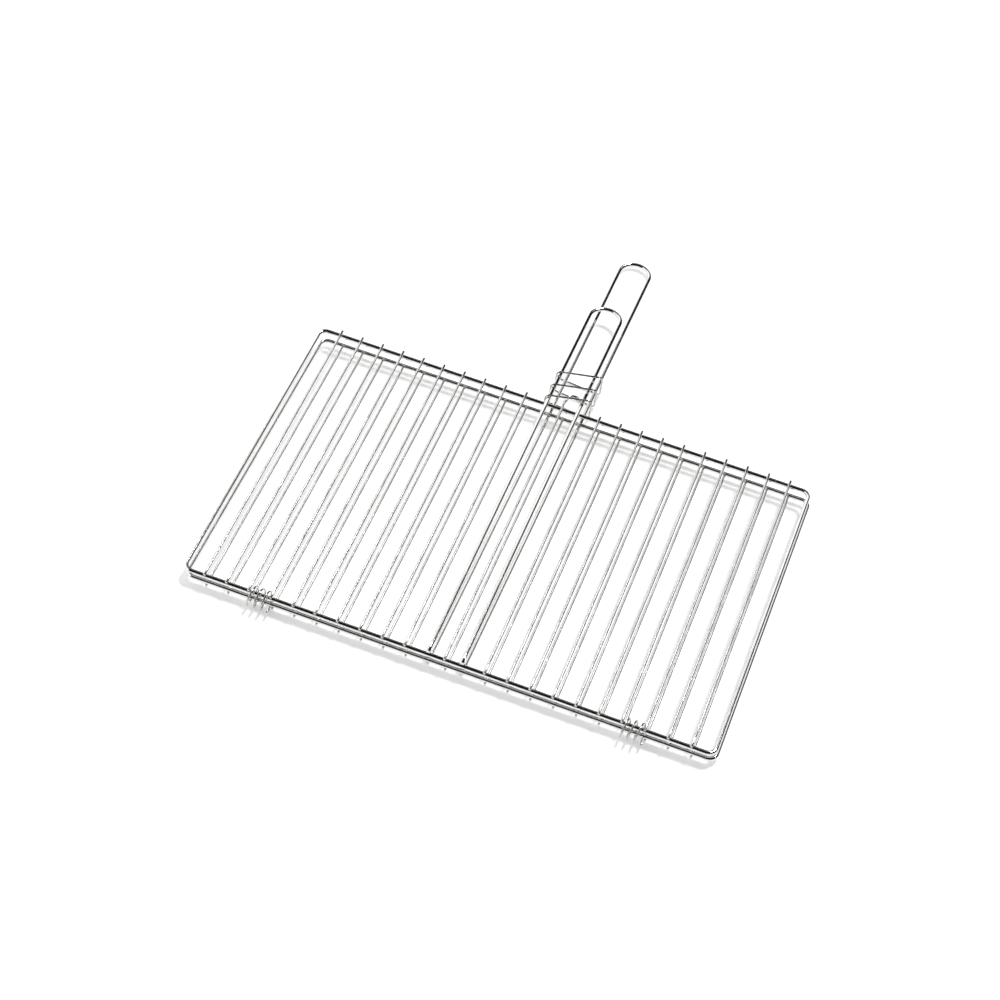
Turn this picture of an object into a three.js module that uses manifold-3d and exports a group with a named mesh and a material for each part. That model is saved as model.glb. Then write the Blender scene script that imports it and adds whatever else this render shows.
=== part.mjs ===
// Folding wire grill basket: two welded wire grids, joined along the front edge by two
// wound-wire hinge coils, with a hairpin handle on each grid and a wound-wire lock ring
// that slides along both handles. Millimetres, +Z up, +X along the long edges, +Y from
// the hinge towards the handles. The lower grid lies flat; the upper grid is shut on it.
import * as THREE from "three";
import { mergeVertices } from "three/addons/utils/BufferGeometryUtils.js";
import Module from "manifold-3d";

// ---- driving dimensions ----
const GRID_LENGTH = 596; // frame wire centre to centre along X
const GRID_DEPTH = 386; // front bar centre to back bar centre
const CORNER_RADIUS = 9; // bend of the frame wire's corners, to its centre line
const FRAME_WIRE = 5;
const ROD_WIRE = 3;
const HANDLE_WIRE = 5;
const RING_WIRE = 2.2;
const COIL_WIRE = 2;
const WELD_GAP = 0.1; // air left between wires that are welded to each other
const BUTT_GAP = 0.3; // between pieces of one wire that meet end to end
const WELD_BEAD = [5.7, 5, 0.56]; // frame wire's butt weld: diameter, length, place along the left side

const ROD_COUNT = 10; // thin rods on each side of the handle
const ROD_FIRST = 44.8; // centre of the grid to the first thin rod
const ROD_PITCH = 25.4;
const ROD_FRONT = -2.3; // rod ends, measured from the front bar's centre
const ROD_BACK_OVERHANG = 4.5; // rod ends past the back bar's centre
const GRID_OFFSET = 1.2; // the upper grid sits this far to -X, the lower to +X

const LOWER_FRAME_Z = 7.6; // height of the lower frame wire's centre
const HINGE_SPACING = 9; // between the two front bars' centres
const BACK_SPACING = 15; // between the two back bars' centres

const HANDLE_HALF_WIDTH = 18.9; // centre of the grid to a handle wire
const HANDLE_FRONT = -0.5; // handle wire ends, measured from the front bar's centre
const UPPER_HANDLE_REACH = 181; // past the back bar's centre, to the loop's centre line
const LOWER_HANDLE_REACH = 284;
const HANDLE_LEG_END = 2.6; // past the back bar's centre, where a leg meets the loop
const UPPER_HANDLE_DROP_DEG = 3.6; // bend of the upper handle, just past the back bar
const LOWER_HANDLE_RISE = 3.1; // step up of the lower handle, just past the back bar
const LOWER_HANDLE_SKEW_DEG = 0.5; // the lower handle is welded on a little askew, its tip to +X
const LOWER_HANDLE_PIVOT = 190; // where it still crosses its true line

const COIL_X = 209.9; // centre of each hinge coil
const COIL_SHIFT = 1; // its middle turn passes behind the bars this far to +X of that
const COIL_CENTRE = [-2, 12.5]; // Y from the front bars, and height
const COIL_RADIUS = 11.3; // to the wire's centre line
const COIL_PITCH = 7.8;
const COIL_ENDS_DEG = [610, -530]; // both ends stand in front of the bars; 0 is behind them

const RING_CENTRE = 1.8; // to +X, round both handles
const RING_HALF_WIDTH = 26; // to the wire's centre line
const RING_LOW = 1.3;
const RING_HIGH = 31.7;
const RING_CORNER = 4.5;
const RING_SPANS = [12.5, 31.5, 53]; // middles of the top spans, past the back bar
const RING_TOP_ADVANCE = 13; // how far a top span runs back from left to right

// ---- derived ----
const OVERALL_BACK = GRID_DEPTH + LOWER_HANDLE_REACH + HANDLE_WIRE / 2;
const OVERALL_FRONT = COIL_CENTRE[0] - COIL_RADIUS - COIL_WIRE / 2;
const CENTRE_Y = (OVERALL_BACK + OVERALL_FRONT) / 2;
const UPPER_FRAME_Z = LOWER_FRAME_Z + HINGE_SPACING;
const WEDGE = Math.atan2(BACK_SPACING - HINGE_SPACING, GRID_DEPTH);
const ROD_DROP = FRAME_WIRE / 2 + ROD_WIRE / 2 + WELD_GAP;
const HANDLE_DROP = FRAME_WIRE / 2 + HANDLE_WIRE / 2 + WELD_GAP;

const wasm = await Module();
wasm.setup();

// ---- wire helpers ----
const V = (x, y, z) => new THREE.Vector3(x, y, z);

// A wire's centre line, given as the exact points where its sections stand.
class WirePath extends THREE.Curve {
  constructor(points) {
    super();
    this.points = points;
  }
  getPoint(t, target = new THREE.Vector3()) {
    return target.copy(this.points[Math.round(t * (this.points.length - 1))]);
  }
  getPointAt(u, target) {
    return this.getPoint(u, target);
  }
  getTangent(t, target = new THREE.Vector3()) {
    const p = this.points;
    const i = Math.round(t * (p.length - 1));
    const back = i > 0 ? p[i].clone().sub(p[i - 1]).normalize() : V(0, 0, 0);
    const ahead =
      i < p.length - 1 ? p[i + 1].clone().sub(p[i]).normalize() : V(0, 0, 0);
    return target.copy(back.add(ahead)).normalize();
  }
  getTangentAt(u, target) {
    return this.getTangent(u, target);
  }
}

// Replaces each inner corner of a polyline by an arc of the given radius.
function rounded(corners, radius, steps = 6) {
  const out = [corners[0].clone()];
  for (let i = 1; i < corners.length - 1; i++) {
    const c = corners[i];
    const a = corners[i - 1].clone().sub(c).normalize();
    const b = corners[i + 1].clone().sub(c).normalize();
    const half = a.angleTo(b) / 2;
    const r = Array.isArray(radius) ? radius[i] : radius;
    if (!r || half > Math.PI / 2 - 1e-4) {
      out.push(c.clone());
      continue;
    }
    const centre = c
      .clone()
      .add(a.clone().add(b).normalize().multiplyScalar(r / Math.sin(half)));
    const from = c.clone().addScaledVector(a, r / Math.tan(half)).sub(centre);
    const to = c.clone().addScaledVector(b, r / Math.tan(half)).sub(centre);
    const axis = from.clone().cross(to).normalize();
    const sweep = from.angleTo(to);
    for (let k = 0; k <= steps; k++)
      out.push(
        from.clone().applyAxisAngle(axis, (sweep * k) / steps).add(centre),
      );
  }
  out.push(corners[corners.length - 1].clone());
  return out;
}

// A round wire as a prism with flat sides that touch the true circle.
function wire(points, diameter, sides) {
  const r = diameter / 2 / Math.cos(Math.PI / sides);
  const section = new THREE.Shape(
    Array.from({ length: sides }, (_, i) => {
      const a = ((2 * i + 1) * Math.PI) / sides;
      return new THREE.Vector2(r * Math.cos(a), r * Math.sin(a));
    }),
  );
  return new THREE.ExtrudeGeometry(section, {
    steps: points.length - 1,
    bevelEnabled: false,
    extrudePath: new WirePath(points),
  });
}

function solidOf(geometry) {
  const bare = geometry.index ? geometry.toNonIndexed() : geometry.clone();
  bare.deleteAttribute("normal");
  bare.deleteAttribute("uv");
  const g = mergeVertices(bare, 1e-4);
  return new wasm.Manifold(
    new wasm.Mesh({
      numProp: 3,
      vertProperties: g.attributes.position.array,
      triVerts: new Uint32Array(g.index.array),
    }),
  );
}

// Joins closed geometries that overlap into one.
function joined(...geometries) {
  const solid = geometries.map(solidOf).reduce((a, b) => a.add(b));
  const mesh = solid.getMesh();
  const g = new THREE.BufferGeometry();
  g.setAttribute(
    "position",
    new THREE.BufferAttribute(new Float32Array(mesh.vertProperties), 3),
  );
  g.setIndex(new THREE.BufferAttribute(new Uint32Array(mesh.triVerts), 1));
  return g;
}

// ---- materials ----
const plated = (color, roughness) =>
  new THREE.MeshStandardMaterial({ color, metalness: 1, roughness });
const FRAME_CHROME = plated(0xd9dadc, 0.12);
const ROD_CHROME = plated(0xe2e3e5, 0.16);
const HANDLE_CHROME = plated(0xdcdddf, 0.1);
const SPRING_CHROME = plated(0xd2d3d6, 0.2);

// ---- pieces ----
function mesh(name, geometry, material) {
  const m = new THREE.Mesh(geometry, material);
  m.name = name;
  return m;
}

// A grid in its own frame: origin at the front bar's centre, side +1 carries the rods
// and the handle above the frame wire, side -1 below it. The frame wire is laid out as
// a front and a back bar, each with its two bent corners, and two straight sides.
function frameBarGeometry(y, inward) {
  const x = GRID_LENGTH / 2;
  const end = y + inward * (CORNER_RADIUS + 0.01);
  return wire(
    rounded([V(x, end, 0), V(x, y, 0), V(-x, y, 0), V(-x, end, 0)], CORNER_RADIUS, 7),
    FRAME_WIRE,
    12,
  );
}

function frameSideGeometry(x, welded) {
  const from = CORNER_RADIUS + BUTT_GAP;
  const to = GRID_DEPTH - CORNER_RADIUS - BUTT_GAP;
  const side = wire([V(x, from, 0), V(x, to, 0)], FRAME_WIRE, 12);
  if (!welded) return side;
  const [d, l, at] = WELD_BEAD;
  const mid = GRID_DEPTH * at;
  return joined(side, wire([V(x, mid - l / 2, 0), V(x, mid + l / 2, 0)], d, 12));
}

function rodGeometry(x, side) {
  return wire(
    [
      V(x, ROD_FRONT, side * ROD_DROP),
      V(x, GRID_DEPTH + ROD_BACK_OVERHANG, side * ROD_DROP),
    ],
    ROD_WIRE,
    8,
  );
}

// The upper grid's middle rod ends in a small arch that turns to the right-hand handle wire.
function archedRodGeometry() {
  const z = ROD_DROP;
  const w = GRID_DEPTH;
  const reach = HANDLE_HALF_WIDTH - HANDLE_WIRE / 2 - ROD_WIRE / 2 - 0.45;
  return wire(
    rounded(
      [
        V(0, ROD_FRONT, z),
        V(0, w + 1, z),
        V(-0.8, w + 6, z),
        V(2.6, w + 22.3, z),
        V(11.6, w + 22.3, z),
        V(reach, w + 16.5, z),
      ],
      [0, 12, 9, 5, 4.2, 0],
      5,
    ),
    ROD_WIRE,
    8,
  );
}

// A handle is one hairpin wire, laid out as two straight legs welded to the grid and
// the loop that stands out past the back bar.
function handleLegGeometry(x, z) {
  return wire(
    [V(x, HANDLE_FRONT, z), V(x, GRID_DEPTH + HANDLE_LEG_END, z)],
    HANDLE_WIRE,
    12,
  );
}

// Mirrors one leg's line, given in the plane X = 0, to both sides and joins the two by a
// half circle that ends at the tip.
function handleLoop(line, tip) {
  const along = tip.clone().sub(line[line.length - 1]).normalize();
  const start = tip.clone().addScaledVector(along, -HANDLE_HALF_WIDTH);
  const right = line.map((p) => V(HANDLE_HALF_WIDTH, p.y, p.z));
  const left = line.map((p) => V(-HANDLE_HALF_WIDTH, p.y, p.z)).reverse();
  const bend = [];
  for (let k = 0; k <= 20; k++) {
    const a = (Math.PI * k) / 20;
    bend.push(
      V(HANDLE_HALF_WIDTH * Math.cos(a), 0, 0).add(
        start.clone().addScaledVector(along, HANDLE_HALF_WIDTH * Math.sin(a)),
      ),
    );
  }
  return wire([...right, ...bend, ...left], HANDLE_WIRE, 12);
}

function upperLoopGeometry() {
  const z = HANDLE_DROP;
  const from = GRID_DEPTH + HANDLE_LEG_END + BUTT_GAP;
  const bendAt = GRID_DEPTH + 10;
  const drop = THREE.MathUtils.degToRad(UPPER_HANDLE_DROP_DEG);
  const run = UPPER_HANDLE_REACH - 10;
  const tip = V(0, bendAt + run * Math.cos(drop), z - run * Math.sin(drop));
  const line = rounded([V(0, from, z), V(0, bendAt, z), tip], 120, 4);
  line.pop();
  return handleLoop(line, tip);
}

function lowerLoopGeometry() {
  const z = -HANDLE_DROP;
  const from = GRID_DEPTH + HANDLE_LEG_END + BUTT_GAP;
  const tip = V(0, GRID_DEPTH + LOWER_HANDLE_REACH, z + LOWER_HANDLE_RISE);
  const line = rounded(
    [
      V(0, from, z),
      V(0, GRID_DEPTH + 5.4, z),
      V(0, GRID_DEPTH + 13.9, z + LOWER_HANDLE_RISE),
      tip,
    ],
    [0, 14, 14, 0],
    4,
  );
  line.pop();
  return handleLoop(line, tip);
}

function coilGeometry() {
  const [from, to] = COIL_ENDS_DEG;
  const n = Math.round((from - to) / 18);
  const points = [];
  for (let i = 0; i <= n; i++) {
    const deg = from + ((to - from) * i) / n;
    const a = THREE.MathUtils.degToRad(deg);
    points.push(
      V(
        COIL_SHIFT - (COIL_PITCH * deg) / 360,
        COIL_CENTRE[0] + COIL_RADIUS * Math.cos(a),
        COIL_CENTRE[1] + COIL_RADIUS * Math.sin(a),
      ),
    );
  }
  return wire(points, COIL_WIRE, 8);
}

// Three rectangular turns, wound right-handed about +Y: over the handles from left to
// right, down the right side and back underneath.
function ringGeometry() {
  const a = RING_HALF_WIDTH;
  const corners = [];
  RING_SPANS.forEach((mid, i) => {
    const left = mid - RING_TOP_ADVANCE / 2;
    const right = mid + RING_TOP_ADVANCE / 2;
    const next = i + 1 < RING_SPANS.length ? RING_SPANS[i + 1] - RING_TOP_ADVANCE / 2 : right + 7;
    const low = right + (next - right) * 0.15;
    const lowLeft = right + (next - right) * 0.85;
    if (i === 0) corners.push(V(-a, left - 0.6, RING_LOW + 2.2));
    corners.push(V(-a, left, RING_HIGH), V(a, right, RING_HIGH));
    corners.push(V(a, low, RING_LOW), V(-a, lowLeft, RING_LOW));
  });
  corners[corners.length - 1].x = -a + 1.6;
  return wire(rounded(corners, RING_CORNER, 5), RING_WIRE, 8);
}

// ---- assembly ----
const basket = new THREE.Group();
const placed = new THREE.Group(); // moves the footprint's middle to the origin
placed.position.y = -CENTRE_Y;
basket.add(placed);

const lowerGrid = new THREE.Group();
lowerGrid.position.set(GRID_OFFSET, 0, LOWER_FRAME_Z);
const upperGrid = new THREE.Group();
upperGrid.position.set(-GRID_OFFSET, 0, UPPER_FRAME_Z);
upperGrid.rotation.x = WEDGE;
placed.add(lowerGrid, upperGrid);

const lowerHandle = new THREE.Group(); // turned about the pivot, its origin back at the front bar
lowerHandle.position.y = LOWER_HANDLE_PIVOT;
lowerHandle.rotation.z = -THREE.MathUtils.degToRad(LOWER_HANDLE_SKEW_DEG);
const lowerHandleLine = new THREE.Group();
lowerHandleLine.position.y = -LOWER_HANDLE_PIVOT;
lowerHandle.add(lowerHandleLine);
lowerGrid.add(lowerHandle);

for (const [grid, handle, label, side] of [
  [upperGrid, upperGrid, "upper", 1],
  [lowerGrid, lowerHandleLine, "lower", -1],
]) {
  const x = GRID_LENGTH / 2;
  for (const [name, geometry] of [
    ["_frame_front_bar", frameBarGeometry(0, 1)],
    ["_frame_back_bar", frameBarGeometry(GRID_DEPTH, -1)],
    ["_frame_left_side", frameSideGeometry(-x, true)],
    ["_frame_right_side", frameSideGeometry(x, false)],
  ])
    grid.add(mesh(label + name, geometry, FRAME_CHROME));
  for (let i = 0; i < 2 * ROD_COUNT; i++) {
    const k = i < ROD_COUNT ? ROD_COUNT - 1 - i : i - ROD_COUNT;
    const rodX = (i < ROD_COUNT ? -1 : 1) * (ROD_FIRST + ROD_PITCH * k);
    const name = label + "_rod_" + String(i + 1).padStart(2, "0");
    grid.add(mesh(name, rodGeometry(rodX, side), ROD_CHROME));
  }
  for (const [name, legX] of [
    ["_handle_left_leg", -HANDLE_HALF_WIDTH],
    ["_handle_right_leg", HANDLE_HALF_WIDTH],
  ])
    handle.add(
      mesh(label + name, handleLegGeometry(legX, side * HANDLE_DROP), HANDLE_CHROME),
    );
}
upperGrid.add(mesh("upper_centre_rod", archedRodGeometry(), ROD_CHROME));
lowerGrid.add(mesh("lower_centre_rod", rodGeometry(0, -1), ROD_CHROME));
upperGrid.add(mesh("upper_handle_loop", upperLoopGeometry(), HANDLE_CHROME));
lowerHandleLine.add(mesh("lower_handle_loop", lowerLoopGeometry(), HANDLE_CHROME));

for (const [name, x] of [
  ["hinge_coil_left", -COIL_X],
  ["hinge_coil_right", COIL_X],
]) {
  const coil = mesh(name, coilGeometry(), SPRING_CHROME);
  coil.position.x = x;
  placed.add(coil);
}

const ring = mesh("lock_ring", ringGeometry(), SPRING_CHROME);
ring.position.set(RING_CENTRE, GRID_DEPTH, 0);
placed.add(ring);

export default basket;
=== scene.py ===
"""Blender looks for the folding wire grill basket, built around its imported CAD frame."""

import math

import bpy
import numpy as np
from mathutils import Matrix, Vector


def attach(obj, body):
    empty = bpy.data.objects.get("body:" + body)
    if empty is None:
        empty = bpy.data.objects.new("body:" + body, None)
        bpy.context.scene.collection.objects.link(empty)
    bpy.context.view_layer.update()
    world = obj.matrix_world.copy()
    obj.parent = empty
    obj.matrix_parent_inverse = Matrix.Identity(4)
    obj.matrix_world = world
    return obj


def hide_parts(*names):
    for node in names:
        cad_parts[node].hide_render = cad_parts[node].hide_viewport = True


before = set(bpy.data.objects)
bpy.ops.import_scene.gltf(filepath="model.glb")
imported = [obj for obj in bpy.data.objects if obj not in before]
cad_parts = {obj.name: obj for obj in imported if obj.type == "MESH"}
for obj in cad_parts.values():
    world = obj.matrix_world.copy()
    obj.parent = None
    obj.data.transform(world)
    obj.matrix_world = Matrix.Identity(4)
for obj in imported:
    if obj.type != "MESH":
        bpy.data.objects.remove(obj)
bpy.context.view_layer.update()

# ---------------------------------------------------------------- dimensions, millimetres
# The same driving dimensions as the CAD part.
GRID_LENGTH, GRID_DEPTH, CORNER_RADIUS = 596.0, 386.0, 9.0
FRAME_WIRE, ROD_WIRE, HANDLE_WIRE, RING_WIRE, COIL_WIRE = 5.0, 3.0, 5.0, 2.2, 2.0
WELD_GAP = 0.1
ROD_COUNT, ROD_FIRST, ROD_PITCH = 10, 44.8, 25.4
ROD_FRONT, ROD_BACK_OVERHANG = -2.3, 4.5
GRID_OFFSET = 1.2
LOWER_FRAME_Z, HINGE_SPACING, BACK_SPACING = 7.6, 9.0, 15.0
HANDLE_HALF_WIDTH, HANDLE_FRONT = 18.9, -0.5
UPPER_HANDLE_REACH, LOWER_HANDLE_REACH = 181.0, 284.0
HANDLE_LEG_END, BUTT_GAP = 2.6, 0.3
UPPER_HANDLE_DROP_DEG, LOWER_HANDLE_RISE = 3.6, 3.1
LOWER_HANDLE_SKEW_DEG, LOWER_HANDLE_PIVOT = 0.5, 190.0
COIL_X, COIL_SHIFT, COIL_CENTRE, COIL_RADIUS, COIL_PITCH = 209.9, 1.0, (-2.0, 12.5), 11.3, 7.8
COIL_ENDS_DEG = (610, -530)
RING_CENTRE, RING_HALF_WIDTH, RING_LOW, RING_HIGH, RING_CORNER = 1.8, 26.0, 1.3, 31.7, 4.5
RING_SPANS, RING_TOP_ADVANCE = (12.5, 31.5, 53.0), 13.0
WELD_AT = 0.56  # frame wire's butt weld, along the left side

UPPER_FRAME_Z = LOWER_FRAME_Z + HINGE_SPACING
WEDGE = math.atan2(BACK_SPACING - HINGE_SPACING, GRID_DEPTH)
ROD_DROP = FRAME_WIRE / 2 + ROD_WIRE / 2 + WELD_GAP
HANDLE_DROP = FRAME_WIRE / 2 + HANDLE_WIRE / 2 + WELD_GAP
PRESS = 0.32  # a welded wire is pressed this far into the CAD's weld gap and its neighbour
FRONT_BAR_Y = -(LOWER_HANDLE_REACH + HANDLE_WIRE / 2 + GRID_DEPTH + COIL_CENTRE[0] - COIL_RADIUS - COIL_WIRE / 2) / 2
MM = 0.001

rng = np.random.default_rng(20702)


# ---------------------------------------------------------------- centre lines
def rounded(corners, radius, steps):
    """Replaces each inner corner of a polyline by an arc."""
    corners = [np.array(c, float) for c in corners]
    out = [corners[0]]
    for i in range(1, len(corners) - 1):
        c = corners[i]
        a = corners[i - 1] - c
        b = corners[i + 1] - c
        a, b = a / np.linalg.norm(a), b / np.linalg.norm(b)
        half = math.acos(max(-1, min(1, float(a @ b)))) / 2
        r = radius[i] if isinstance(radius, (list, tuple)) else radius
        if not r or half > math.pi / 2 - 1e-4:
            out.append(c)
            continue
        mid = a + b
        centre = c + mid / np.linalg.norm(mid) * (r / math.sin(half))
        start = c + a * (r / math.tan(half)) - centre
        end = c + b * (r / math.tan(half)) - centre
        axis = np.cross(start, end)
        axis /= np.linalg.norm(axis)
        sweep = math.pi - 2 * half
        for k in range(steps + 1):
            t = sweep * k / steps
            out.append(
                centre
                + start * math.cos(t)
                + np.cross(axis, start) * math.sin(t)
            )
    out.append(corners[-1])
    return np.array(out)


def resample(points, gap, closed=False):
    """Adds points along long straight stretches, so that nothing is further apart than gap."""
    pts = [np.array(p, float) for p in points]
    if closed:
        pts.append(pts[0])
    out = []
    for a, b in zip(pts, pts[1:]):
        n = max(1, int(math.ceil(np.linalg.norm(b - a) / gap)))
        out += [a + (b - a) * k / n for k in range(n)]
    if not closed:
        out.append(pts[-1])
    return np.array(out)


def upper(points):
    """From the upper grid's own frame to the basket's, front bar at y = 0."""
    p = np.array(points, float)
    c, s = math.cos(WEDGE), math.sin(WEDGE)
    return np.stack(
        [
            p[:, 0] - GRID_OFFSET,
            p[:, 1] * c - p[:, 2] * s,
            UPPER_FRAME_Z + p[:, 1] * s + p[:, 2] * c,
        ],
        1,
    )


def lower(points):
    p = np.array(points, float)
    return np.stack([p[:, 0] + GRID_OFFSET, p[:, 1], LOWER_FRAME_Z + p[:, 2]], 1)


def skewed(points):
    """The lower handle stands a little askew on its grid."""
    p = np.array(points, float)
    a = math.radians(LOWER_HANDLE_SKEW_DEG)
    x, y = p[:, 0], p[:, 1] - LOWER_HANDLE_PIVOT
    return np.stack([x * math.cos(a) + y * math.sin(a), LOWER_HANDLE_PIVOT + y * math.cos(a) - x * math.sin(a), p[:, 2]], 1)


def wander(points, amount, wavelength, seed, hold_z=False):
    """A hand-straightened wire is never quite straight: a slow drift off its line, zero at both ends."""
    r = np.random.default_rng(seed)
    p = np.array(points, float)
    s = np.r_[0, np.cumsum(np.linalg.norm(np.diff(p, axis=0), axis=1))]
    length = s[-1]
    fade = np.sin(np.pi * np.clip(s / length, 0, 1)) ** 0.5
    for axis in (0, 2):
        if axis == 2 and hold_z:
            continue
        wave = sum(
            r.normal() * np.sin(2 * np.pi * (k + 1) * s / wavelength + r.uniform(0, 6.28)) / (k + 1)
            for k in range(3)
        )
        p[:, axis] += amount * wave * fade * (0.5 if axis == 2 else 1)
    return p


# ---------------------------------------------------------------- swept wires
def wire(name, points, diameter, sides=24, closed=False, swell=None, heat=(), seed=0):
    """A round wire along the points (mm), with chamfered, slightly domed cut ends.
    swell(s, angle) scales the radius; heat holds arc lengths where it is welded."""
    r = np.random.default_rng(1000 + seed)
    p = np.array(points, float)
    n = len(p)
    if closed:
        ahead = np.roll(p, -1, 0) - p
        back = p - np.roll(p, 1, 0)
    else:
        seg = np.diff(p, axis=0)
        ahead = np.vstack([seg, seg[-1:]])
        back = np.vstack([seg[:1], seg])
    t = ahead / np.linalg.norm(ahead, axis=1)[:, None] + back / np.linalg.norm(back, axis=1)[:, None]
    t /= np.linalg.norm(t, axis=1)[:, None]
    s = np.r_[0, np.cumsum(np.linalg.norm(np.diff(p, axis=0), axis=1))]
    # parallel transport, starting from a normal that points down
    first = np.array([0, 0, -1.0]) if abs(t[0][2]) < 0.9 else np.array([1.0, 0, 0])
    normal = first - t[0] * (first @ t[0])
    normal /= np.linalg.norm(normal)
    normals = [normal]
    for i in range(1, n):
        v = normals[-1] - t[i] * (normals[-1] @ t[i])
        normals.append(v / np.linalg.norm(v))
    normals = np.array(normals)
    if closed:
        # take out the small twist left between the last section and the first
        last = normals[-1] - t[0] * (normals[-1] @ t[0])
        last /= np.linalg.norm(last)
        twist = math.atan2(float(np.cross(last, normals[0]) @ t[0]), float(last @ normals[0]))
        a = twist * np.arange(n) / n
        side = np.cross(t, normals)
        normals = normals * np.cos(a)[:, None] + side * np.sin(a)[:, None]
    binormals = np.cross(t, normals)
    radius = diameter / 2
    angle = 2 * np.pi * np.arange(sides) / sides
    rings, ring_s = [], []

    def ring(i, scale, shift):
        k = np.ones(sides) if swell is None else np.array([swell(s[i], a) for a in angle])
        offset = (
            normals[i][None] * (np.cos(angle) * k)[:, None]
            + binormals[i][None] * (np.sin(angle) * k)[:, None]
        )
        rings.append(p[i] + t[i] * shift + offset * radius * scale)
        ring_s.append(s[i] + shift)

    if closed:
        for i in range(n):
            ring(i, 1, 0)
    else:
        c = min(0.35, radius * 0.22)
        ring(0, 0.45, 0)
        ring(0, 1 - c / radius, 0.02)
        ring(0, 1 - 0.3 * c / radius, 0.3 * c)
        ring(0, 1, c)
        for i in range(1, n - 1):
            ring(i, 1, 0)
        ring(n - 1, 1, -c)
        ring(n - 1, 1 - 0.3 * c / radius, -0.3 * c)
        ring(n - 1, 1 - c / radius, -0.02)
        ring(n - 1, 0.45, 0)
    count = len(rings)
    verts = np.concatenate(rings)
    faces = []
    for i in range(count if closed else count - 1):
        j = (i + 1) % count
        for k in range(sides):
            m = (k + 1) % sides
            faces.append((i * sides + k, i * sides + m, j * sides + m, j * sides + k))
    if not closed:
        faces.append(tuple(reversed(range(sides))))
        faces.append(tuple(range((count - 1) * sides, count * sides)))
    verts = verts + np.array([0, FRONT_BAR_Y, 0])
    data = bpy.data.meshes.new(name)
    data.from_pydata((verts * MM).tolist(), [], faces)
    data.update()
    data.polygons.foreach_set("use_smooth", [True] * len(data.polygons))
    # along: where the point is on the wire, for the drawn finish; heat: how near a weld is
    along = np.zeros((count * sides, 3), np.float32)
    ring_s = np.array(ring_s)
    total = s[-1] + (np.linalg.norm(p[0] - p[-1]) if closed else 0)
    # on a closed wire the drawn lines run out and back, so that they meet where they close
    run = np.minimum(ring_s, total - ring_s) * 2 if closed else ring_s
    along[:, 0] = np.tile(radius * np.cos(angle), count)
    along[:, 1] = np.tile(radius * np.sin(angle), count)
    along[:, 2] = np.repeat(run + 997.0 * (seed % 89), sides)
    data.attributes.new("along", "FLOAT_VECTOR", "POINT").data.foreach_set("vector", along.ravel())
    warm = np.zeros(count, np.float32)
    for h in heat:
        d = np.abs(ring_s - h)
        if closed:
            d = np.minimum(d, total - d)
        warm = np.maximum(warm, np.exp(-((d / 3.2) ** 2)))
    data.attributes.new("heat", "FLOAT", "POINT").data.foreach_set("value", np.repeat(warm, sides).astype(np.float32))
    obj = bpy.data.objects.new(name, data)
    bpy.context.scene.collection.objects.link(obj)
    return obj


# ---------------------------------------------------------------- weld nuggets
def nugget_shape(frame_r, rod_r, depth, seed, detail=3):
    """The fused metal where a rod (along Y, above) is pressed into a bar (along X, below):
    the smooth blend of both cylinders near their contact, a little uneven, with flash."""
    r = np.random.default_rng(seed)
    import bmesh

    bm = bmesh.new()
    bmesh.ops.create_icosphere(bm, subdivisions=detail + 1, radius=1)
    dirs = np.array([v.co[:] for v in bm.verts])
    faces = [[v.index for v in f.verts] for f in bm.faces]
    bm.free()
    reach = 1.45 * rod_r + 0.9
    waves = [(r.normal(size=3) * 2.2, r.uniform(0, 6.28), r.uniform(0.5, 1)) for _ in range(5)]

    def blend(p):
        d_bar = np.hypot(p[:, 1], p[:, 2] + frame_r) - frame_r
        d_rod = np.hypot(p[:, 0], p[:, 2] - (rod_r - depth)) - rod_r
        far = np.linalg.norm(p, axis=1) / reach
        k = 1.25 * np.clip(1 - far**2, 0, 1)
        uneven = sum(a * np.sin(p @ w + f) for w, f, a in waves) * 0.06
        h = np.clip(k - np.abs(d_bar - d_rod), 0, None)
        soft = np.minimum(d_bar, d_rod) - h * h / (4 * np.maximum(k, 1e-3))
        return soft + 0.05 + 0.35 * np.clip(far - 0.72, 0, 1) - uneven * np.clip(1 - far, 0, 1)

    lo = np.full(len(dirs), 0.02)
    hi = np.full(len(dirs), reach * 1.12)
    ts = np.linspace(0.02, reach * 1.12, 60)
    inside = np.stack([blend(dirs * t) < 0 for t in ts])
    first_out = np.argmax(~inside, axis=0)
    first_out[inside.all(0)] = len(ts) - 1
    lo = ts[np.maximum(first_out - 1, 0)]
    hi = ts[first_out]
    for _ in range(14):
        mid = (lo + hi) / 2
        out = blend(dirs * mid[:, None]) >= 0
        hi = np.where(out, mid, hi)
        lo = np.where(out, lo, mid)
    return dirs * lo[:, None], faces


SHAPES = {
    "rod": [nugget_shape(FRAME_WIRE / 2, ROD_WIRE / 2, PRESS - WELD_GAP, 11 + k) for k in range(6)],
    "handle": [nugget_shape(FRAME_WIRE / 2, HANDLE_WIRE / 2, PRESS - WELD_GAP, 31 + k) for k in range(4)],
}


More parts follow.
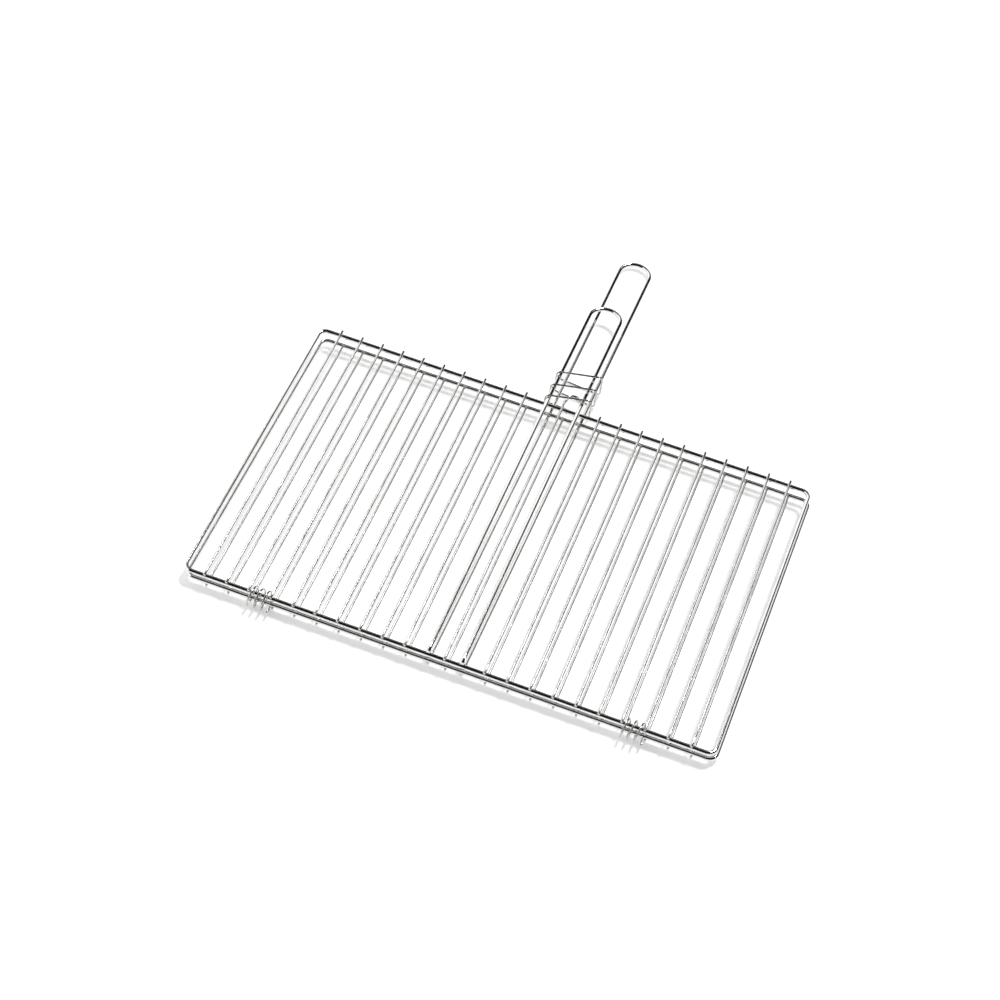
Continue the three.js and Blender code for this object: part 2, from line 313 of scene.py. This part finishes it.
def welds(name, spots, side, to_basket):
    """One mesh of all the weld nuggets of a grid. A spot is (kind, x, y)."""
    verts, faces, base = [], [], 0
    for n, (kind, x, y) in enumerate(spots):
        shape, tri = SHAPES[kind][n % len(SHAPES[kind])]
        v = shape.copy()
        if n % 2:
            v[:, 0] *= -1
        if (n // 2) % 2:
            v[:, 1] *= -1
        v[:, 2] = (v[:, 2] + FRAME_WIRE / 2) * side
        v[:, 0] += x
        if y < 10:
            # trimmed with the wire's cut end, so that nothing sticks out in front of it
            v[:, 1] = np.maximum(v[:, 1], (HANDLE_FRONT if kind == "handle" else ROD_FRONT) + 0.1 - y)
        v[:, 1] += y
        verts.append(to_basket(v))
        flip = ((n % 2) + ((n // 2) % 2) + (1 if side < 0 else 0)) % 2
        faces += [[base + i for i in (reversed(f) if flip else f)] for f in tri]
        base += len(v)
    verts = np.concatenate(verts) + np.array([0, FRONT_BAR_Y, 0])
    data = bpy.data.meshes.new(name)
    data.from_pydata((verts * MM).tolist(), [], faces)
    data.update()
    data.polygons.foreach_set("use_smooth", [True] * len(data.polygons))
    obj = bpy.data.objects.new(name, data)
    bpy.context.scene.collection.objects.link(obj)
    return obj


# ---------------------------------------------------------------- materials
def link(tree, a, b):
    tree.links.new(a, b)


def chrome(name, light, dark, rough, streak, weld_dull=0.22, use_along=True):
    """Chrome plate over drawn wire: streaks along the wire, a soft orange peel, thin dull
    patches, and a duller, faintly warm halo round each weld."""
    m = bpy.data.materials.new(name)
    m.use_nodes = True
    t = m.node_tree
    bsdf = t.nodes["Principled BSDF"]
    bsdf.inputs["Metallic"].default_value = 1.0
    bsdf.inputs["IOR"].default_value = 2.5
    if use_along:
        place = t.nodes.new("ShaderNodeAttribute")
        place.attribute_name = "along"
        where = place.outputs["Vector"]
    else:
        place = t.nodes.new("ShaderNodeTexCoord")
        scale = t.nodes.new("ShaderNodeVectorMath")
        scale.operation = "SCALE"
        scale.inputs["Scale"].default_value = 1000.0
        link(t, place.outputs["Object"], scale.inputs[0])
        where = scale.outputs["Vector"]

    def noise(scale_xyz, detail, size, roughness=0.5):
        mapping = t.nodes.new("ShaderNodeMapping")
        mapping.inputs["Scale"].default_value = scale_xyz
        link(t, where, mapping.inputs["Vector"])
        n = t.nodes.new("ShaderNodeTexNoise")
        n.inputs["Scale"].default_value = size
        n.inputs["Detail"].default_value = detail
        n.inputs["Roughness"].default_value = roughness
        link(t, mapping.outputs["Vector"], n.inputs["Vector"])
        return n.outputs["Fac"]

    def ramp(source, low, high, to_low, to_high):
        r = t.nodes.new("ShaderNodeMapRange")
        r.inputs["From Min"].default_value = low
        r.inputs["From Max"].default_value = high
        r.inputs["To Min"].default_value = to_low
        r.inputs["To Max"].default_value = to_high
        link(t, source, r.inputs["Value"])
        return r.outputs["Result"]

    def math_node(op, a, b):
        n = t.nodes.new("ShaderNodeMath")
        n.operation = op
        for i, v in enumerate((a, b)):
            if isinstance(v, (int, float)):
                n.inputs[i].default_value = v
            else:
                link(t, v, n.inputs[i])
        return n.outputs[0]

    blotch = noise((1, 1, 0.5), 3, 0.05)
    streaks = noise((2.6, 2.6, 0.035), 4, 1.0, 0.65)
    peel = noise((1, 1, 0.6), 2, 1.3)
    mix = t.nodes.new("ShaderNodeMix")
    mix.data_type = "RGBA"
    mix.inputs["A"].default_value = (*dark, 1)
    mix.inputs["B"].default_value = (*light, 1)
    link(t, ramp(blotch, 0.3, 0.62, 0.0, 1.0), mix.inputs["Factor"])
    colour = mix.outputs["Result"]
    roughness = math_node(
        "ADD", ramp(blotch, 0.35, 0.7, rough * 1.5, rough * 0.8), ramp(streaks, 0.45, 0.75, 0.0, streak)
    )
    if use_along:
        heat = t.nodes.new("ShaderNodeAttribute")
        heat.attribute_name = "heat"
        near = heat.outputs["Fac"]
        spots = ramp(noise((1, 1, 1), 3, 0.9), 0.35, 0.65, 0.35, 1.0)
        near = math_node("MULTIPLY", near, spots)
        roughness = math_node("ADD", roughness, math_node("MULTIPLY", near, weld_dull))
        tint = t.nodes.new("ShaderNodeMix")
        tint.data_type = "RGBA"
        tint.inputs["B"].default_value = (0.60, 0.575, 0.53, 1)
        link(t, math_node("MULTIPLY", near, 0.45), tint.inputs["Factor"])
        link(t, colour, tint.inputs["A"])
        colour = tint.outputs["Result"]
    link(t, colour, bsdf.inputs["Base Color"])
    link(t, roughness, bsdf.inputs["Roughness"])
    bump = t.nodes.new("ShaderNodeBump")
    bump.inputs["Strength"].default_value = 0.08
    bump.inputs["Distance"].default_value = 0.00004
    link(t, streaks, bump.inputs["Height"])
    bump2 = t.nodes.new("ShaderNodeBump")
    bump2.inputs["Strength"].default_value = 0.07 if use_along else 0.5
    bump2.inputs["Distance"].default_value = 0.00006
    link(t, peel, bump2.inputs["Height"])
    link(t, bump.outputs["Normal"], bump2.inputs["Normal"])
    link(t, bump2.outputs["Normal"], bsdf.inputs["Normal"])
    return m


FRAME_CHROME = chrome("frame_chrome", (0.80, 0.80, 0.795), (0.69, 0.688, 0.68), 0.05, 0.08)
# rods and springs: the frame's chrome with a darker base colour, a painted shade that makes the thin wires read
# greyer than the frame
ROD_SHADED_CHROME = chrome("rod_shaded_chrome", (0.62, 0.62, 0.61), (0.50, 0.50, 0.49), 0.12, 0.16)
HANDLE_CHROME = chrome("handle_chrome", (0.81, 0.81, 0.805), (0.70, 0.698, 0.69), 0.05, 0.08)
SPRING_SHADED_CHROME = chrome("spring_shaded_chrome", (0.62, 0.62, 0.61), (0.50, 0.498, 0.49), 0.10, 0.12)
WELD_CHROME = chrome("weld_chrome", (0.76, 0.755, 0.745), (0.60, 0.585, 0.56), 0.20, 0.12, use_along=False)


def finished(obj, body, slot, material, *nodes):
    obj.data.materials.append(material)
    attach(obj, body)
    if nodes:
        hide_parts(*nodes)
    return obj


# ---------------------------------------------------------------- the two grids
def frame_line():
    """The frame wire as one closed loop, its butt weld part way along the left side."""
    x, y, r = GRID_LENGTH / 2, GRID_DEPTH, CORNER_RADIUS
    mid = y * WELD_AT
    line = rounded(
        [(-x, mid, 0), (-x, y, 0), (x, y, 0), (x, 0, 0), (-x, 0, 0), (-x, mid - 0.001, 0)], r, 14
    )
    return line[:-1]


def butt_bead(total, seed):
    """The butt weld: a ground-down bead with a faint groove beside it."""
    r = np.random.default_rng(seed)
    waves = [(int(k), r.uniform(0, 6.28), r.uniform(0.3, 1)) for k in (1, 2, 3, 5)]

    def swell(s, a):
        d = min(s, total - s)
        if d > 4:
            return 1.0
        uneven = 1 + 0.25 * sum(w * math.sin(k * a + f) for k, f, w in waves)
        return 1 + 0.022 * math.exp(-((d / 1.5) ** 2)) * uneven - 0.005 * math.exp(-(((d - 3) / 0.5) ** 2))

    return swell


def rod_xs():
    xs = [ROD_FIRST + ROD_PITCH * k for k in range(ROD_COUNT)]
    return [-x for x in reversed(xs)] + xs


def build_grid(label, body, side, place, seed):
    drop = ROD_DROP - PRESS
    leg = HANDLE_DROP - PRESS
    # frame wire, with extra sections round the butt weld
    line = frame_line()
    near = [GRID_DEPTH * WELD_AT + d for d in (0.4, 0.8, 1.2, 1.6, 2.0, 2.4, 2.8, 3.2, 3.6, 4.2)]
    far = [GRID_DEPTH * WELD_AT - d for d in (4.2, 3.6, 3.2, 2.8, 2.4, 2.0, 1.6, 1.2, 0.8, 0.4)]
    x = GRID_LENGTH / 2
    pts = [line[0]] + [np.array([-x, y, 0]) for y in near] + list(line[1:]) + [np.array([-x, y, 0]) for y in far]
    pts = resample(pts, 18, closed=True)
    lengths = np.r_[0, np.cumsum(np.linalg.norm(np.diff(pts, axis=0), axis=1))]
    total = lengths[-1] + np.linalg.norm(pts[-1] - pts[0])
    # arc lengths of the crossings, to dull the plate there
    heat = []
    for cx in rod_xs() + [0, -HANDLE_HALF_WIDTH, HANDLE_HALF_WIDTH]:
        for cy in (0, GRID_DEPTH):
            d = np.hypot(pts[:, 0] - cx, pts[:, 1] - cy)
            i = int(np.argmin(d))
            if cy:
                heat.append(lengths[i] + (cx - pts[i][0]))
            else:
                heat.append(lengths[i] - (cx - pts[i][0]))
    heat.append(0)
    finished(
        wire(label + "_frame_wire", place(pts), FRAME_WIRE, 28, closed=True, swell=butt_bead(total, seed), heat=heat, seed=seed),
        body, "frame_wire", FRAME_CHROME,
        *[label + "_frame_" + n for n in ("front_bar", "back_bar", "left_side", "right_side")],
    )
    spots = []
    for i, cx in enumerate(rod_xs()):
        ends = (ROD_FRONT + 0.01, GRID_DEPTH + ROD_BACK_OVERHANG - 0.01)
        r = np.random.default_rng(seed * 100 + i)
        line = resample([(cx, ends[0], side * drop), (cx, ends[1], side * drop)], 12)
        line = wander(place(line), 0.16, 420, seed * 100 + i)
        finished(
            wire("%s_rod_wire_%02d" % (label, i + 1), line, ROD_WIRE, 20,
                 heat=[-ROD_FRONT, GRID_DEPTH - ROD_FRONT], seed=seed * 100 + i),
            body, "rod_wire", ROD_SHADED_CHROME, "%s_rod_%02d" % (label, i + 1),
        )
        spots += [("rod", cx, 0), ("rod", cx, GRID_DEPTH)]
    # the middle rod
    if label == "upper":
        w = GRID_DEPTH
        reach = HANDLE_HALF_WIDTH - HANDLE_WIRE / 2 - ROD_WIRE / 2 + 0.1
        z = drop
        line = rounded(
            [(0, ROD_FRONT + 0.01, z), (0, w + 1, z), (-0.8, w + 6, z), (2.6, w + 22.3, z),
             (11.6, w + 22.3, z), (reach, w + 16.5, z + 0.25)],
            [0, 12, 9, 5, 4.2, 0], 10,
        )
    else:
        line = np.array([(0, ROD_FRONT + 0.01, -drop), (0, GRID_DEPTH + ROD_BACK_OVERHANG - 0.01, -drop)])
    finished(
        wire(label + "_centre_rod_wire", wander(place(resample(line, 12)), 0.08, 420, seed * 100 + 50), ROD_WIRE, 20,
             heat=[-ROD_FRONT, GRID_DEPTH - ROD_FRONT], seed=seed * 100 + 50),
        body, "rod_wire", ROD_SHADED_CHROME, label + "_centre_rod",
    )
    spots += [("rod", 0, 0), ("rod", 0, GRID_DEPTH)]
    # the hairpin handle, one wire from end to end
    z = side * leg
    if label == "upper":
        drop_angle = math.radians(UPPER_HANDLE_DROP_DEG)
        run = UPPER_HANDLE_REACH - 10
        tip = np.array([0, GRID_DEPTH + 10 + run * math.cos(drop_angle), z - run * math.sin(drop_angle)])
        mid = rounded([(0, HANDLE_FRONT, z), (0, GRID_DEPTH + 10, z), tip], 120, 8)
    else:
        tip = np.array([0, GRID_DEPTH + LOWER_HANDLE_REACH, -HANDLE_DROP + LOWER_HANDLE_RISE])
        mid = rounded(
            [(0, HANDLE_FRONT, z), (0, GRID_DEPTH + 5.4, z), (0, GRID_DEPTH + 13.9, -HANDLE_DROP + LOWER_HANDLE_RISE), tip],
            [0, 14, 14, 0], 8,
        )
    mid = mid[:-1]
    along = tip - mid[-1]
    along /= np.linalg.norm(along)
    start = tip - along * HANDLE_HALF_WIDTH
    right = [np.array([HANDLE_HALF_WIDTH, q[1], q[2]]) for q in mid]
    left = [np.array([-HANDLE_HALF_WIDTH, q[1], q[2]]) for q in reversed(mid)]
    bend = [
        start + np.array([HANDLE_HALF_WIDTH * math.cos(a), 0, 0]) + along * HANDLE_HALF_WIDTH * math.sin(a)
        for a in np.linspace(0, math.pi, 45)
    ]
    line = resample(right + bend + left, 14)
    if label == "lower":
        line = skewed(line)
    line = place(line)
    line = wander(line, 0.10, 700, seed * 100 + 70, hold_z=True)
    lengths = np.r_[0, np.cumsum(np.linalg.norm(np.diff(line, axis=0), axis=1))]
    total = lengths[-1]
    spots_s = [-HANDLE_FRONT, GRID_DEPTH - HANDLE_FRONT, total + HANDLE_FRONT, total - GRID_DEPTH + HANDLE_FRONT]
    finished(
        wire(label + "_handle_wire", line, HANDLE_WIRE, 28, heat=spots_s, seed=seed * 100 + 70),
        body, "handle_wire", HANDLE_CHROME,
        label + "_handle_left_leg", label + "_handle_right_leg", label + "_handle_loop",
    )
    for cx in (-HANDLE_HALF_WIDTH, HANDLE_HALF_WIDTH):
        for cy in (0.6, GRID_DEPTH):
            at = skewed([(cx, cy, 0)])[0] if label == "lower" else (cx, cy)
            spots.append(("handle", at[0], cy))
    finished(welds(label + "_welds", spots, side, place), body, "frame_wire", WELD_CHROME)


build_grid("upper", "upper_grid", 1, upper, 3)
build_grid("lower", "lower_grid", -1, lower, 7)


# ---------------------------------------------------------------- coils and ring
def coil_line():
    start, end = COIL_ENDS_DEG
    deg = np.linspace(start, end, round((start - end) / 7.5) + 1)
    a = np.radians(deg)
    return np.stack(
        [
            COIL_SHIFT - COIL_PITCH * deg / 360,
            COIL_CENTRE[0] + COIL_RADIUS * np.cos(a),
            COIL_CENTRE[1] + COIL_RADIUS * np.sin(a),
        ],
        1,
    )


for k, (name, x) in enumerate((("hinge_coil_left", -COIL_X), ("hinge_coil_right", COIL_X))):
    finished(
        wire(name + "_wire", coil_line() + np.array([x, 0, 0]), COIL_WIRE, 16, seed=900 + k),
        "lower_grid", "spring_wire", SPRING_SHADED_CHROME, name,
    )


def ring_line():
    a, corners = RING_HALF_WIDTH, []
    for i, mid in enumerate(RING_SPANS):
        left, right = mid - RING_TOP_ADVANCE / 2, mid + RING_TOP_ADVANCE / 2
        ahead = RING_SPANS[i + 1] - RING_TOP_ADVANCE / 2 if i + 1 < len(RING_SPANS) else right + 7
        if i == 0:
            corners.append((-a, left - 0.6, RING_LOW + 2.2))
        corners += [(-a, left, RING_HIGH), (a, right, RING_HIGH)]
        corners += [(a, right + (ahead - right) * 0.15, RING_LOW), (-a, right + (ahead - right) * 0.85, RING_LOW)]
    corners[-1] = (-a + 1.6, corners[-1][1], corners[-1][2])
    return rounded(corners, RING_CORNER, 14) + np.array([RING_CENTRE, GRID_DEPTH, 0])


finished(
    wire("lock_ring_wire", resample(ring_line(), 6), RING_WIRE, 18, seed=950),
    "locking_ring", "spring_wire", SPRING_SHADED_CHROME, "lock_ring",
)


# ---------------------------------------------------------------- stage, light, camera
def stage():
    scene = bpy.context.scene
    bpy.ops.mesh.primitive_plane_add(size=1)
    floor = bpy.context.object
    floor.name = "floor"
    floor.scale = (60, 60, 1)
    floor.location = (0, 0, -0.0002)
    m = bpy.data.materials.new("paper")
    m.use_nodes = True
    b = m.node_tree.nodes["Principled BSDF"]
    b.inputs["Base Color"].default_value = (0.93, 0.93, 0.93, 1)
    b.inputs["Roughness"].default_value = 0.9
    b.inputs["Specular IOR Level"].default_value = 0.1
    # a light table: the sheet glows a little from below, which keeps the shadows pale
    b.inputs["Emission Color"].default_value = (1.0, 1.0, 1.0, 1)
    b.inputs["Emission Strength"].default_value = 0.43
    floor.data.materials.append(m)

    # a bright room behind and above, darker on the camera's side and low at the right
    world = bpy.data.worlds.new("room")
    scene.world = world
    world.use_nodes = True
    t = world.node_tree
    t.nodes.clear()
    out = t.nodes.new("ShaderNodeOutputWorld")
    bg = t.nodes.new("ShaderNodeBackground")
    link(t, bg.outputs[0], out.inputs["Surface"])
    coord = t.nodes.new("ShaderNodeTexCoord")

    def facing(direction, low, high):
        dot = t.nodes.new("ShaderNodeVectorMath")
        dot.operation = "DOT_PRODUCT"
        link(t, coord.outputs["Generated"], dot.inputs[0])
        dot.inputs[1].default_value = Vector(direction).normalized()
        r = t.nodes.new("ShaderNodeMapRange")
        r.interpolation_type = "SMOOTHSTEP"
        r.inputs["From Min"].default_value = low
        r.inputs["From Max"].default_value = high
        link(t, dot.outputs["Value"], r.inputs["Value"])
        return r.outputs["Result"]

    # the unlit half of the studio lies on the camera's side and to its right, and reaches just past overhead
    dark_side = facing((0.75, -0.60, 0.28), 0.04, 0.12)
    dark_top = facing((-0.12, 0.15, 0.98), 0.86, 0.89)
    dark_right = facing((1.0, 0.0, 0.0), 0.25, 0.33)
    two = t.nodes.new("ShaderNodeMath")
    two.operation = "MAXIMUM"
    link(t, dark_side, two.inputs[0])
    link(t, dark_top, two.inputs[1])
    # a dark drape low at the back, from a little left of the middle to the right: it draws the
    # black lines on the handles, past the grids
    drape = t.nodes.new("ShaderNodeMath")
    drape.operation = "MULTIPLY"
    link(t, facing((0.0, 1.0, 0.0), 0.665, 0.688), drape.inputs[0])
    link(t, facing((1.0, 0.0, 0.0), -0.58, -0.48), drape.inputs[1])
    three = t.nodes.new("ShaderNodeMath")
    three.operation = "MAXIMUM"
    link(t, two.outputs[0], three.inputs[0])
    link(t, dark_right, three.inputs[1])
    most = t.nodes.new("ShaderNodeMath")
    most.operation = "MAXIMUM"
    link(t, three.outputs[0], most.inputs[0])
    link(t, drape.outputs[0], most.inputs[1])
    mix = t.nodes.new("ShaderNodeMix")
    mix.data_type = "RGBA"
    mix.inputs["A"].default_value = (1.0, 1.0, 0.995, 1)
    mix.inputs["B"].default_value = (0.008, 0.008, 0.008, 1)
    link(t, most.outputs[0], mix.inputs["Factor"])
    link(t, mix.outputs["Result"], bg.inputs["Color"])
    bg.inputs["Strength"].default_value = 1.35

    key = bpy.data.lights.new("key", "SUN")
    key.energy = 1.8
    key.angle = math.radians(11)
    lamp = bpy.data.objects.new("key", key)
    scene.collection.objects.link(lamp)
    lamp.rotation_euler = Vector((0.12, 0.42, 0.80)).to_track_quat("Z", "Y").to_euler()

    cam = bpy.data.cameras.new("camera")
    cam.sensor_fit = "HORIZONTAL"
    cam.sensor_width = 36
    cam.lens = 2454.78 / 1000 * 36
    cam.clip_end = 100
    obj = bpy.data.objects.new("camera", cam)
    scene.collection.objects.link(obj)
    right = Vector((0.936667796, 0.333568590, 0.106702557))
    up = Vector((-0.320441462, 0.693341428, 0.645441657))
    back = Vector((0.141317760, -0.638756338, 0.756319794))
    rot = Matrix((right, up, back)).transposed().to_4x4()
    at = Vector((363.4815, FRONT_BAR_Y - 1509.6256, 2079.6858)) * MM
    obj.matrix_world = Matrix.Translation(at) @ rot
    scene.camera = obj
    scene.view_settings.view_transform = "Standard"
    scene.view_settings.look = "None"
    scene.view_settings.exposure = 0.0


stage()
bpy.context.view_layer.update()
